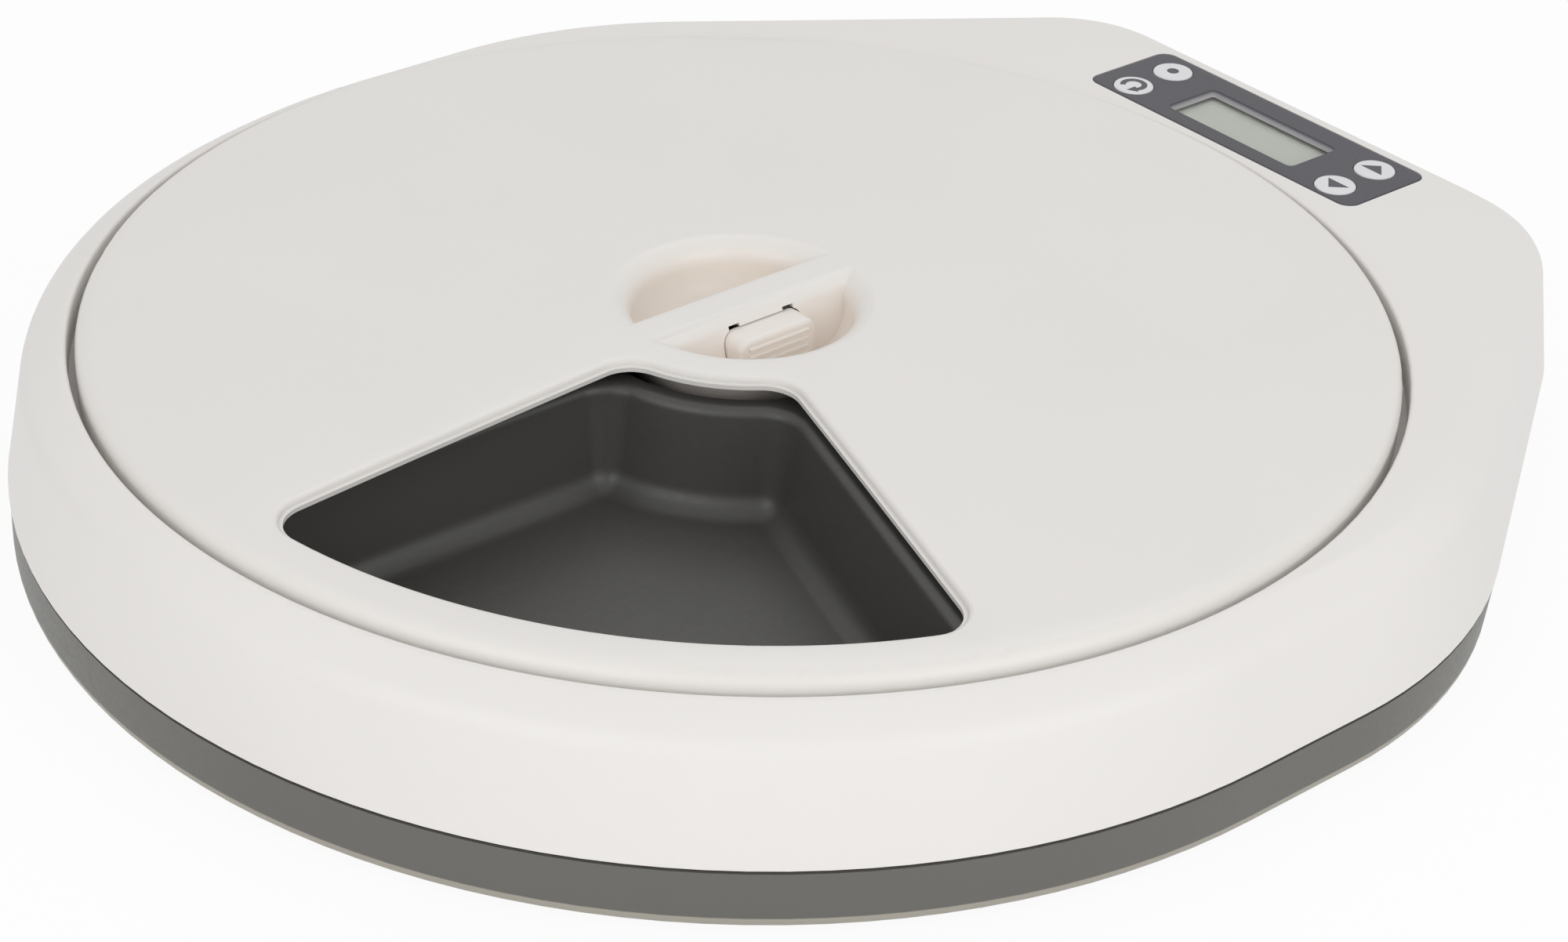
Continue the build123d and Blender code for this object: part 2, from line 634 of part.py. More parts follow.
nodes["drive_plate"] = make_drive_plate()
nodes["drive_motor"] = make_motor()
nodes["motor_pinion"] = Pos(*AXIS_MOTOR, 0) * (
    Pos(0, 0, LEVELS[0]) * spur_gear(SMALL_TEETH, GEAR_W + 0.3, mesh_gap(AXIS_MOTOR, AXIS_FIRST))
    + disc(1.0, PLATE_Z - 3.5, LEVELS[0] + GEAR_W + 0.8))
nodes["first_gear"] = Pos(*AXIS_FIRST, 0) * compound_gear(
    LEVELS[0], LEVELS[1], LEVELS[1] + GEAR_W + 0.2,
    bearing(AXIS_FIRST, AXIS_MOTOR), mesh_gap(AXIS_FIRST, AXIS_SECOND))
nodes["second_gear"] = Pos(*AXIS_SECOND, 0) * compound_gear(
    LEVELS[1], LEVELS[2], LEVELS[2] + GEAR_W + 0.2,
    bearing(AXIS_SECOND, AXIS_FIRST), mesh_gap(AXIS_SECOND, (0, 0)))
nodes["gear_axles"] = Compound(
    [disc(AXLE_R, PLATE_Z, TOWER_TOP - 0.9, x, y) for x, y in (AXIS_FIRST, AXIS_SECOND)])
nodes["output_gear"] = make_output_gear()
nodes["index_magnets"] = Compound([
    disc(MAGNET_R, LEVELS[2] + 0.1, LEVELS[2] + 0.1 + MAGNET_H, x, y) for x, y in MAGNETS])
sensor_x, sensor_y = polar(SENSOR_R, 200)
nodes["index_sensor"] = (
    block(sensor_x - 4, sensor_x + 4, sensor_y - 1.8, sensor_y - 0.8, PLATE_TOP, LEVELS[2] - 1.6)
    + block(sensor_x - 2, sensor_x + 2, sensor_y - 0.8, sensor_y + 0.8, LEVELS[2] - 4.4, LEVELS[2] - 1.2))
nodes["drive_screws"] = Compound(
    [Pos(x, y, PLATE_Z) * screw(2.2, 1.5, 1.0, 7) for x, y in DRIVE_BOSSES])
nodes["drive_spindle"] = make_spindle()
nodes["spindle_bush"] = (
    disc(3.9, TOWER_TOP - WELL_WALL, TOWER_TOP) + disc(6, TOWER_TOP, TOWER_TOP + 0.35)
    - disc(SPINDLE_R + 0.15, 0, RIM_Z))


# Tray: a top ring with drafted cups, a skirt, and a sunk hub on the spindle

def cup(grow, depth, bottom_r):
    """One pocket as a solid, top at the tray's top; grow makes it larger all round."""
    face = sector(POCKET_IN_R, POCKET_OUT_R, 180 / POCKETS, DIVIDER_HALF, POCKET_CORNER_R)
    if grow:
        face = offset(face, amount=grow)
    body = extrude(Pos(0, 0, TRAY_TOP_Z) * face, amount=depth, dir=(0, 0, -1), taper=POCKET_TAPER)
    return fillet(body.edges().group_by(Axis.Z)[0], bottom_r)


def make_tray():
    """The dark turning tray: its top with hub and lip, and the five cups under it."""
    depth = TRAY_TOP_Z - POCKET_FLOOR_Z
    body = turned([
        (5, HUB_FLOOR_Z), (HUB_WELL_R + TRAY_WALL, HUB_FLOOR_Z),
        (HUB_WELL_R + TRAY_WALL, TRAY_TOP_Z - TRAY_WALL),
        (TRAY_R - TRAY_WALL, TRAY_TOP_Z - TRAY_WALL), (TRAY_R - TRAY_WALL, TRAY_TOP_Z - TRAY_LIP_H),
        (TRAY_R, TRAY_TOP_Z - TRAY_LIP_H), (TRAY_R, TRAY_TOP_Z), (HUB_WELL_R, TRAY_TOP_Z),
        (HUB_WELL_R, HUB_FLOOR_Z + TRAY_WALL), (9, HUB_FLOOR_Z + TRAY_WALL),
        (9, HUB_FLOOR_Z + DRIVE_H + 0.2), (5, HUB_FLOOR_Z + DRIVE_H + 0.2),
    ])
    outer = cup(TRAY_WALL, depth + TRAY_WALL, POCKET_FILLET + TRAY_WALL)
    inner = cup(0, depth, POCKET_FILLET)
    for k in range(POCKETS):
        body += Rot(0, 0, TRAY_ANGLE + 360 / POCKETS * k) * outer
    for k in range(POCKETS):
        body -= Rot(0, 0, TRAY_ANGLE + 360 / POCKETS * k) * inner
    socket = RegularPolygon(DRIVE_HEX + 0.12, 6, major_radius=False)
    body -= Pos(0, 0, HUB_FLOOR_Z - 1) * extrude(socket, amount=8)
    top = body.faces().filter_by(Axis.Z).sort_by(Axis.Z)[-1]
    rims = [e for wire in top.inner_wires() for e in wire.edges()]
    body = fillet(rims, POCKET_RIM_R)
    parting_z = TRAY_TOP_Z - POCKET_RIM_R - 0.1
    below = disc(TRAY_R - TRAY_WALL - 0.2, 0, parting_z) - disc(HUB_WELL_R + TRAY_WALL + 1, 0, parting_z)
    cups = (body & below).solids().sort_by(Axis.X)
    return body - below, Compound(cups)


nodes["feeding_tray"], nodes["tray_cups"] = make_tray()


# Lid with its serving opening, sunk grip and push latch

def serving(grow=0.0):
    """The serving opening as an upright prism; grow makes it larger all round."""
    face = sector(SERVING_IN_R, SERVING_OUT_R, SERVING_HALF_ANGLE, SERVING_SIDE, SERVING_CORNER_R)
    if grow:
        face = offset(face, amount=grow)
    return extrude(Pos(0, 0, DISH_FLOOR_Z) * Rot(0, 0, SERVING_ANGLE) * face, amount=20)


def lid_shell():
    """The domed top with its rounded edge and straight skirt."""
    flat_r = LID_R - LID_EDGE_R
    drop = LID_TOP_Z - LID_EDGE_Z
    half = flat_r / 2
    sag = drop / 4
    bend = LID_EDGE_R * sqrt(0.5)
    inner_r = LID_R - LID_WALL
    top = ThreePointArc((0, 0, LID_TOP_Z), (half, 0, LID_TOP_Z - sag), (flat_r, 0, LID_EDGE_Z))
    edge = ThreePointArc(
        (flat_r, 0, LID_EDGE_Z), (flat_r + bend, 0, LID_EDGE_Z - LID_EDGE_R + bend),
        (LID_R, 0, LID_EDGE_Z - LID_EDGE_R))
    skirt = Polyline(
        (LID_R, 0, LID_EDGE_Z - LID_EDGE_R), (LID_R, 0, LEDGE_Z), (inner_r, 0, LEDGE_Z),
        (inner_r, 0, LID_EDGE_Z - LID_EDGE_R), (flat_r, 0, LID_EDGE_Z - LID_WALL))
    under = ThreePointArc(
        (flat_r, 0, LID_EDGE_Z - LID_WALL), (half, 0, LID_TOP_Z - LID_WALL - sag),
        (0, 0, LID_TOP_Z - LID_WALL))
    axis = Line((0, 0, LID_TOP_Z - LID_WALL), (0, 0, LID_TOP_Z))
    return revolve(make_face(top + edge + skirt + under + axis), Axis.Z)


def grip_scoops():
    """The round dish in the lid's middle, less the bar that crosses it."""
    side_h = 0.5
    bowl_r = LID_TOP_Z - DISH_FLOOR_Z - DISH_FLARE - side_h
    floor_r = DISH_R - bowl_r
    mouth_r = DISH_R + DISH_FLARE
    flare_z = LID_TOP_Z - DISH_FLARE
    above = LID_TOP_Z + 10
    knee = sqrt(0.5)
    low = ThreePointArc(
        (floor_r, 0, DISH_FLOOR_Z), (floor_r + bowl_r * knee, 0, DISH_FLOOR_Z + bowl_r * (1 - knee)),
        (DISH_R, 0, DISH_FLOOR_Z + bowl_r))
    side = Line((DISH_R, 0, DISH_FLOOR_Z + bowl_r), (DISH_R, 0, flare_z))
    high = ThreePointArc(
        (DISH_R, 0, flare_z), (mouth_r - DISH_FLARE * knee, 0, flare_z + DISH_FLARE * knee),
        (mouth_r, 0, LID_TOP_Z))
    rest = Polyline(
        (mouth_r, 0, LID_TOP_Z), (mouth_r, 0, above), (0, 0, above), (0, 0, DISH_FLOOR_Z),
        (floor_r, 0, DISH_FLOOR_Z))
    return revolve(make_face(low + side + high + rest), Axis.Z) - bar_prism()


def bar_prism():
    """The crossing bar along Y, wider at its foot, with round upper edges."""
    section = Plane.XZ * make_face(Polyline(
        (-BAR_FOOT_HALF, DISH_FLOOR_Z - 1), (BAR_FOOT_HALF, DISH_FLOOR_Z - 1),
        (BAR_TOP_HALF, LID_TOP_Z + 0.05), (-BAR_TOP_HALF, LID_TOP_Z + 0.05), close=True))
    prism = extrude(section, amount=40, both=True)
    upper = [e for e in prism.edges().filter_by(Axis.Y) if e.center().Z > LID_TOP_Z - 1]
    return fillet(upper, BAR_EDGE_R)


def make_lid():
    """The white lid: its domed top, its sunk grip and the skirt under its edge."""
    body = lid_shell()
    hub = disc(HUB_R, DISH_FLOOR_Z - DISH_WALL, LID_TOP_Z - 1.5)
    body += fillet(hub.edges().group_by(Axis.Z)[0], HUB_FOOT_R)
    body -= serving() + (serving(SERVING_STEP) - Pos(0, 0, -SERVING_STEP_DEPTH) * lid_shell())
    rim = [e for e in body.edges() if is_serving_rim(e)]
    body = fillet(rim, SERVING_EDGE_R)
    body -= grip_scoops()
    body -= block(-7, 7, -8, 8, DISH_FLOOR_Z, YOKE_Z1 + 0.7)
    body -= block(-3.6, 3.6, -6, 6, HEAD_Z, LID_TOP_Z - 2.7)
    body -= block(-RETAINER_X - GAP, RETAINER_X + GAP, -RETAINER_Y - GAP, RETAINER_Y + GAP,
                  DISH_FLOOR_Z - DISH_WALL - 1, DISH_FLOOR_Z)
    hole = block(
        2.6, 16, -LATCH_HALF - LATCH_GAP, LATCH_HALF + LATCH_GAP,
        LATCH_Z0 - LATCH_GAP, LATCH_Z1 + LATCH_GAP)
    upper = [e for e in hole.edges().filter_by(Axis.X) if e.center().Z > LATCH_Z1]
    body -= fillet(upper, LATCH_CORNER_R + LATCH_GAP)
    for side in (-1, 1):
        body -= block(3, 12, side * 7.6 - 1.5, side * 7.6 + 1.5, LATCH_Z1 - 1, LATCH_Z1 + LATCH_GAP + 0.7)
        body -= disc(0.85, DISH_FLOOR_Z - 1, DISH_FLOOR_Z + 5, 0, side * LATCH_SCREW_Y)
        body -= block(-KEY_HALF - 0.5, KEY_HALF + 0.5, side * KEY_R - 3, side * KEY_R + 3,
                      LEDGE_Z - 1, LEDGE_Z + KEY_H + GAP)
    core = disc(DISH_R + DISH_FLARE, 0, LID_TOP_Z + 1)
    skirt_z = LID_EDGE_Z - LID_EDGE_R
    rim_ring = disc(LID_R + 1, 0, skirt_z) - disc(LID_R - LID_WALL - 1, 0, skirt_z)
    return body - core - rim_ring, body & core, body & rim_ring


def is_serving_rim(edge):
    """True for the serving opening's upper edge on the dome."""
    middle = edge @ 0.5
    radius = sqrt(middle.X ** 2 + middle.Y ** 2)
    dome_z = LID_TOP_Z - (LID_TOP_Z - LID_EDGE_Z) * (radius / (LID_R - LID_EDGE_R)) ** 2
    reach = SERVING_STEP + 1
    return middle.Z > dome_z - 0.1 and SERVING_IN_R - reach < radius < SERVING_OUT_R + reach


def make_latch():
    """The push latch: a ribbed thumb pad outside the bar and a yoke round the spindle's neck."""
    pad = block(6.0, LATCH_FRONT, -LATCH_HALF, LATCH_HALF, LATCH_Z0, LATCH_Z1)
    upper = [e for e in pad.edges().filter_by(Axis.X) if e.center().Z > LATCH_Z1 - 1]
    pad = fillet(upper, LATCH_CORNER_R)
    front = [e for e in pad.edges().group_by(Axis.X)[-1]]
    pad = fillet(front, 1.2)
    for k in range(4):
        z = LATCH_Z0 + 1.6 + 1.9 * k
        pad += Pos(LATCH_FRONT, 0, z) * Rot(90, 0, 0) * Cylinder(0.5, 2 * LATCH_HALF - 5)
    slot = HEAD_R + 0.4
    yoke = block(-3.7, 6.5, -slot - 2, slot + 2, YOKE_Z0, YOKE_Z1)
    yoke -= block(-HEAD_R - LATCH_GAP, 4.3, -slot, slot, YOKE_Z0 - 1, YOKE_Z1 + 1)
    return pad + yoke


def make_retainer():
    """The plate that keeps the latch in the lid, open in the middle for the spindle."""
    body = block(-RETAINER_X, RETAINER_X, -RETAINER_Y, RETAINER_Y, DISH_FLOOR_Z - RETAINER_T, DISH_FLOOR_Z)
    body -= disc(HEAD_R + 1, 0, RIM_Z)
    for side in (-1, 1):
        body -= disc(1.0, 0, RIM_Z, 0, side * LATCH_SCREW_Y)
    return body


nodes["lid"], nodes["lid_grip"], nodes["lid_skirt"] = make_lid()
nodes["latch_button"] = make_latch()
nodes["latch_spring"] = Pos(-6.95, 0, YOKE_Z0 + 0.7) * Rot(0, 90, 0) * coil(1.3, 0.2, 3, 3.2)
nodes["latch_retainer"] = make_retainer()
nodes["latch_screws"] = Compound([
    Pos(0, side * LATCH_SCREW_Y, DISH_FLOOR_Z - RETAINER_T) * screw(1.7, 1.0, 0.8, 5.5)
    for side in (-1, 1)])


os.makedirs("parts", exist_ok=True)
for name, shape in nodes.items():
    export_step(Pos(0, -CENTRE_Y, 0) * shape, f"parts/{name}.step")
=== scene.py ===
# %% [markdown]
# # An automatic pet feeder
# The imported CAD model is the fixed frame: every solid is already in its place and rides on its own body.
# This lesson gives the solids their finishes, adds the small printed signs, and sets up the studio.

# %% Load the frame
import json
import math

import bmesh
import bpy
from mathutils import Matrix, Vector


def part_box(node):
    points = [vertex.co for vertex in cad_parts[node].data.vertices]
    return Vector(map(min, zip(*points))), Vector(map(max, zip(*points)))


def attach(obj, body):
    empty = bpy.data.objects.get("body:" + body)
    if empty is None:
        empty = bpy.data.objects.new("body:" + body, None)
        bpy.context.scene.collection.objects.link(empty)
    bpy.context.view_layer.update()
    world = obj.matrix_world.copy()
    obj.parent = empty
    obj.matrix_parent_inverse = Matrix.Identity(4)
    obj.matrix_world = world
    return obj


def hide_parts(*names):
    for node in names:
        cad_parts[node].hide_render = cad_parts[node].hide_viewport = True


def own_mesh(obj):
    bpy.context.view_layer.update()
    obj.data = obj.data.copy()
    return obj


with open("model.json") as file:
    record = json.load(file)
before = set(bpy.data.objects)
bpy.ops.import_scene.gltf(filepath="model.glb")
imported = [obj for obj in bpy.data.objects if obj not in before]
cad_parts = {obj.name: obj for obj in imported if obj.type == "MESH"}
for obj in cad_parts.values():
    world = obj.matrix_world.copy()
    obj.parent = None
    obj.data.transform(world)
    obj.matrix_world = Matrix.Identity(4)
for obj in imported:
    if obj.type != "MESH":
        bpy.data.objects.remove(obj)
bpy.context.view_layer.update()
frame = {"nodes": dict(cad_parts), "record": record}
nodes = frame["nodes"]
MM = 0.001

# %% [markdown]
# ## Studio
# A product picture of white plastic needs soft light from several sides and a white ground. The ground
# could be lit until it clips, but that would also clip the white lid. So the ground's own colour is white
# to the camera, and to mirrors and glass, while the lamps stay at a level at which a colour renders about
# as written.

# %% View settings and the rays that see the backdrop
scene = bpy.context.scene
scene.view_settings.view_transform = "Standard"


def backdrop_rays(tree):
    """A socket that is 1 for rays from the camera, a mirror or glass, and 0 for plain light."""
    path = tree.nodes.new("ShaderNodeLightPath")
    total = path.outputs["Is Camera Ray"]
    for name in ("Is Glossy Ray", "Is Transmission Ray"):
        add = tree.nodes.new("ShaderNodeMath")
        add.operation = "ADD"
        add.use_clamp = True
        tree.links.new(total, add.inputs[0])
        tree.links.new(path.outputs[name], add.inputs[1])
        total = add.outputs[0]
    return total


print("view transform:", scene.view_settings.view_transform)


# %% World
SKY_LIGHT = 0.58
world = bpy.data.worlds.new("studio_world")
scene.world = world
world.use_nodes = True
background = world.node_tree.nodes["Background"]
background.inputs["Color"].default_value = (1.0, 1.0, 1.0, 1.0)
strength = world.node_tree.nodes.new("ShaderNodeMapRange")
strength.inputs["To Min"].default_value = SKY_LIGHT
strength.inputs["To Max"].default_value = 1.0
world.node_tree.links.new(backdrop_rays(world.node_tree), strength.inputs["Value"])
world.node_tree.links.new(strength.outputs["Result"], background.inputs["Strength"])
print("sky light on the object:", SKY_LIGHT)


# %% Floor
FLOOR_HALF = 6.0
FLOOR_WHITE = (0.93, 0.93, 0.93, 1.0)
FLOOR_ROUGH = 0.9
FLOOR_GLOW = 0.93


def make_floor():
    """A wide white plane that still takes the object's soft shadow."""
    mesh = bpy.data.meshes.new("floor")
    bm = bmesh.new()
    bmesh.ops.create_grid(bm, x_segments=1, y_segments=1, size=FLOOR_HALF)
    bm.to_mesh(mesh)
    bm.free()
    floor = bpy.data.objects.new("floor", mesh)
    scene.collection.objects.link(floor)
    material = bpy.data.materials.new("floor_white")
    material.use_nodes = True
    links = material.node_tree.links
    shader = material.node_tree.nodes["Principled BSDF"]
    shader.inputs["Base Color"].default_value = FLOOR_WHITE
    shader.inputs["Roughness"].default_value = FLOOR_ROUGH
    glow = material.node_tree.nodes.new("ShaderNodeEmission")
    glow.inputs["Color"].default_value = (1, 1, 1, 1)
    share = material.node_tree.nodes.new("ShaderNodeMath")
    share.operation = "MULTIPLY"
    share.inputs[1].default_value = FLOOR_GLOW
    mix = material.node_tree.nodes.new("ShaderNodeMixShader")
    output = material.node_tree.nodes["Material Output"]
    links.new(backdrop_rays(material.node_tree), share.inputs[0])
    links.new(share.outputs[0], mix.inputs["Fac"])
    links.new(shader.outputs[0], mix.inputs[1])
    links.new(glow.outputs[0], mix.inputs[2])
    links.new(mix.outputs[0], output.inputs["Surface"])
    mesh.materials.append(material)


make_floor()
print("floor width:", 2 * FLOOR_HALF, "m, share of glow:", FLOOR_GLOW)


# %% Lamps
LAMP_AIM = Vector((0.0, 0.0, 0.02))
LAMPS = [
    {"name": "front_lamp", "place": (0.35, -1.2, 0.7), "size": 0.9, "power": 4.1},
    {"name": "side_lamp", "place": (1.25, 0.0, 0.65), "size": 0.8, "power": 4.1},
    {"name": "back_lamp", "place": (-0.5, 0.7, 1.4), "size": 1.0, "power": 3.4},
]


def soft_lamp(name, place, size, power):
    """A square soft box, its edge in metres and its power in watts, aimed at the object."""
    data = bpy.data.lights.new(name, "AREA")
    data.shape = "SQUARE"
    data.size = size
    data.energy = power
    lamp = bpy.data.objects.new(name, data)
    scene.collection.objects.link(lamp)
    lamp.location = place
    lamp.rotation_euler = (LAMP_AIM - Vector(place)).to_track_quat("-Z", "Y").to_euler()


for lamp_values in LAMPS:
    soft_lamp(**lamp_values)

# %% [markdown]
# ## Camera
# The photograph was taken from above the front right corner, close enough for clear perspective. The
# place, the aim and the small roll were fitted to the round edge of the lid's opening, so they are set from
# its rim.

# %% Camera
RIM_HEIGHT = 0.046
lid_low, lid_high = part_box("lid")
TRAY_AXIS = (lid_low + lid_high) / 2
RIM = Vector((TRAY_AXIS.x, TRAY_AXIS.y, RIM_HEIGHT))
CAMERA_PLACE = RIM + Vector((0.51691, -0.44131, 0.37233))
CAMERA_AIM = RIM + Vector((0.04898, -0.02884, -0.006))
CAMERA_ROLL = math.radians(2.655)
LENS_MM = 80.9
SENSOR_MM = 36.0
NEAREST_SEEN = 0.01

camera_data = bpy.data.cameras.new("camera")
camera_data.lens = LENS_MM
camera_data.sensor_width = SENSOR_MM
camera_data.clip_start = NEAREST_SEEN
camera = bpy.data.objects.new("camera", camera_data)
scene.collection.objects.link(camera)
turn = (CAMERA_AIM - CAMERA_PLACE).to_track_quat("-Z", "Y").to_matrix().to_4x4()
roll = Matrix.Rotation(CAMERA_ROLL, 4, "Z")
camera.matrix_world = Matrix.Translation(CAMERA_PLACE) @ turn @ roll
scene.camera = camera
print("camera at", tuple(round(v, 3) for v in CAMERA_PLACE))

# %% [markdown]
# ## Moulded plastic
# Moulded plastic is never one flat colour: the tool's fine etched grain breaks up the gloss, and the flow
# of the plastic leaves faint, broad changes of tone. Both are wanted on several finishes, so they are one
# node group with named sockets, placed in each material with its own values.

# %% Grain group
FINE_DETAIL = 3.0
BROAD_DETAIL = 2.0
grain = bpy.data.node_groups.new("moulded_grain", "ShaderNodeTree")
grain.interface.new_socket("Grain Scale", in_out="INPUT", socket_type="NodeSocketFloat")
grain.interface.new_socket("Tone Scale", in_out="INPUT", socket_type="NodeSocketFloat")
grain.interface.new_socket("Height", in_out="OUTPUT", socket_type="NodeSocketFloat")
grain.interface.new_socket("Tone", in_out="OUTPUT", socket_type="NodeSocketFloat")
group_in = grain.nodes.new("NodeGroupInput")
group_out = grain.nodes.new("NodeGroupOutput")
place = grain.nodes.new("ShaderNodeTexCoord")
fine = grain.nodes.new("ShaderNodeTexNoise")
fine.inputs["Detail"].default_value = FINE_DETAIL
broad = grain.nodes.new("ShaderNodeTexNoise")
broad.inputs["Detail"].default_value = BROAD_DETAIL
grain.links.new(place.outputs["Object"], fine.inputs["Vector"])
grain.links.new(place.outputs["Object"], broad.inputs["Vector"])
grain.links.new(group_in.outputs["Grain Scale"], fine.inputs["Scale"])
grain.links.new(group_in.outputs["Tone Scale"], broad.inputs["Scale"])
grain.links.new(fine.outputs["Fac"], group_out.inputs["Height"])
grain.links.new(broad.outputs["Fac"], group_out.inputs["Tone"])
print("grain group sockets:", [item.name for item in grain.interface.items_tree])


# %% Plastic finish
NOISE_SPAN = (0.3, 0.7)
GRAIN_DEPTH = 0.2 * MM


def linear(*srgb):
    """An 8-bit colour as seen on screen, as linear values with full alpha."""
    shares = [v / 255 for v in srgb]
    return tuple(((s + 0.055) / 1.055) ** 2.4 if s > 0.04045 else s / 12.92 for s in shares) + (1.0,)


def moulded(name, colour, spread, rough, grain_scale=900.0, bump=0.12, tone_scale=18.0):
    """A moulded plastic: two near tones of one colour, a band of roughness and a fine etched grain."""
    material = bpy.data.materials.new(name)
    material.use_nodes = True
    made = material.node_tree.nodes
    links = material.node_tree.links
    shader = made["Principled BSDF"]
    group = made.new("ShaderNodeGroup")
    group.node_tree = grain
    group.inputs["Grain Scale"].default_value = grain_scale
    group.inputs["Tone Scale"].default_value = tone_scale
    mix = made.new("ShaderNodeMix")
    mix.data_type = "RGBA"
    mix.inputs["A"].default_value = linear(*[max(c - spread, 0) for c in colour])
    mix.inputs["B"].default_value = linear(*[min(c + spread, 255) for c in colour])
    links.new(group.outputs["Tone"], mix.inputs["Factor"])
    links.new(mix.outputs["Result"], shader.inputs["Base Color"])
    band = made.new("ShaderNodeMapRange")
    band.inputs["From Min"].default_value, band.inputs["From Max"].default_value = NOISE_SPAN
    band.inputs["To Min"].default_value, band.inputs["To Max"].default_value = rough
    links.new(group.outputs["Height"], band.inputs["Value"])
    links.new(band.outputs["Result"], shader.inputs["Roughness"])
    dent = made.new("ShaderNodeBump")
    dent.inputs["Strength"].default_value = bump
    dent.inputs["Distance"].default_value = GRAIN_DEPTH
    links.new(group.outputs["Height"], dent.inputs["Height"])
    links.new(dent.outputs["Normal"], shader.inputs["Normal"])
    return material


BASE_LOOK = {"colour": (101, 100, 95), "spread": 3, "rough": (0.4, 0.5), "bump": 0.06}
LID_LOOK = {"colour": (234, 231, 227), "spread": 2, "rough": (0.34, 0.44), "bump": 0.08}
finishes = {
    "casing_white": moulded("casing_white", (236, 233, 230), 2, (0.42, 0.52)),
    "lid_white": moulded("lid_white", **LID_LOOK),
    "base_grey": moulded("base_grey", **BASE_LOOK),
    "tray_charcoal": moulded("tray_charcoal", (67, 66, 64), 3, (0.38, 0.48), bump=0.08),
    "panel_slate_painted_well_light": moulded("panel_slate_painted_well_light", (64, 63, 70), 4, (0.45, 0.55), grain_scale=2500.0),
    "key_white": moulded("key_white", (228, 228, 230), 2, (0.4, 0.5)),
    "sole_rubber": moulded("sole_rubber", (38, 38, 38), 4, (0.75, 0.9), grain_scale=500.0, bump=0.3),
    "gear_natural": moulded("gear_natural", (214, 211, 200), 4, (0.4, 0.5)),
    "part_black": moulded("part_black", (30, 30, 31), 3, (0.4, 0.55)),
    "board_green": moulded("board_green", (40, 98, 62), 5, (0.35, 0.5), tone_scale=120.0),
    "display_grey": moulded("display_grey", (163, 165, 160), 2, (0.3, 0.36), bump=0.02),
    "sign_grey": moulded("sign_grey", (74, 74, 82), 2, (0.5, 0.6)),
    "cell_sleeve": moulded("cell_sleeve", (66, 70, 78), 4, (0.3, 0.4), bump=0.03),
}
print("plastic finishes:", len(finishes))

# %% [markdown]
# ## Painted light that changes with height
# The base's lower edge turns down to the bright ground, so the ground's reflection is painted along it as a
# pale band, which stops short of the flat underside. The wall of the display's well catches the light that
# its pane throws back, so painted light makes it paler with depth. Light that bounces about in the white
# hollow of the grip comes back warmer, so the hollow is painted warmer with depth. Separate pieces would
# need seams that the real mouldings lack, so all three painted tones come from one node group, which
# measures the height in the piece's own coordinates.

# %% Painted light by height group
painted_light_group = bpy.data.node_groups.new("painted_light_by_height", "ShaderNodeTree")
for socket in ("Colour", "Pale"):
    painted_light_group.interface.new_socket(socket, in_out="INPUT", socket_type="NodeSocketColor")
for socket in ("Top", "Top Full", "Foot", "Foot Full"):
    painted_light_group.interface.new_socket(socket, in_out="INPUT", socket_type="NodeSocketFloat")
painted_light_group.interface.new_socket("Colour", in_out="OUTPUT", socket_type="NodeSocketColor")
pale_in = painted_light_group.nodes.new("NodeGroupInput")
pale_out = painted_light_group.nodes.new("NodeGroupOutput")
pale_place = painted_light_group.nodes.new("ShaderNodeTexCoord")
pale_split = painted_light_group.nodes.new("ShaderNodeSeparateXYZ")
pale_share = painted_light_group.nodes.new("ShaderNodeMath")
pale_share.operation = "MULTIPLY"
pale_mix = painted_light_group.nodes.new("ShaderNodeMix")
pale_mix.data_type = "RGBA"
painted_light_group.links.new(pale_place.outputs["Object"], pale_split.inputs[0])
for end, factor in zip(("Top", "Foot"), pale_share.inputs):
    step = painted_light_group.nodes.new("ShaderNodeMapRange")
    painted_light_group.links.new(pale_split.outputs["Z"], step.inputs["Value"])
    painted_light_group.links.new(pale_in.outputs[end], step.inputs["From Min"])
    painted_light_group.links.new(pale_in.outputs[end + " Full"], step.inputs["From Max"])
    painted_light_group.links.new(step.outputs["Result"], factor)
painted_light_group.links.new(pale_share.outputs[0], pale_mix.inputs["Factor"])
painted_light_group.links.new(pale_in.outputs["Colour"], pale_mix.inputs["A"])
painted_light_group.links.new(pale_in.outputs["Pale"], pale_mix.inputs["B"])
painted_light_group.links.new(pale_mix.outputs["Result"], pale_out.inputs["Colour"])
print("height group sockets:", [item.name for item in painted_light_group.interface.items_tree])


# %% Painted light: pale edge, pale well and warm hollow
EDGE_TOP = 4.9 * MM
EDGE_FOOT = 2.1 * MM
EDGE_BLUR = 0.3 * MM
EDGE_FOOT_BLUR = EDGE_BLUR / 4
# Painted reflection of the bright ground: the pale band along the base's lower edge.
EDGE_PAINTED_LIGHT = (168, 163, 152)
WELL_RIM = 0.15 * MM
# Painted light from the display's pane on the wall of its well.
WELL_PAINTED_LIGHT = (214, 211, 212)
HOLLOW_RIM = 0.8 * MM
HOLLOW_DEEP = 6.0 * MM
# Painted warm bounce light deep in the grip's hollow.
HOLLOW_PAINTED_BOUNCE = (240, 232, 224)
NO_FOOT = (-2 * MM, -1 * MM)


def painted_light_by_height(material, pale, top, foot):
    """Mixes painted light, a pale tone, into a moulded colour between two soft ends, each a start and a full
    height.
    """
    tree = material.node_tree
    group = tree.nodes.new("ShaderNodeGroup")
    group.node_tree = painted_light_group
    group.inputs["Pale"].default_value = linear(*pale)
    group.inputs["Top"].default_value, group.inputs["Top Full"].default_value = top
    group.inputs["Foot"].default_value, group.inputs["Foot Full"].default_value = foot
    colour = tree.nodes["Principled BSDF"].inputs["Base Color"]
    tree.links.new(colour.links[0].from_socket, group.inputs["Colour"])
    tree.links.new(group.outputs["Colour"], colour)
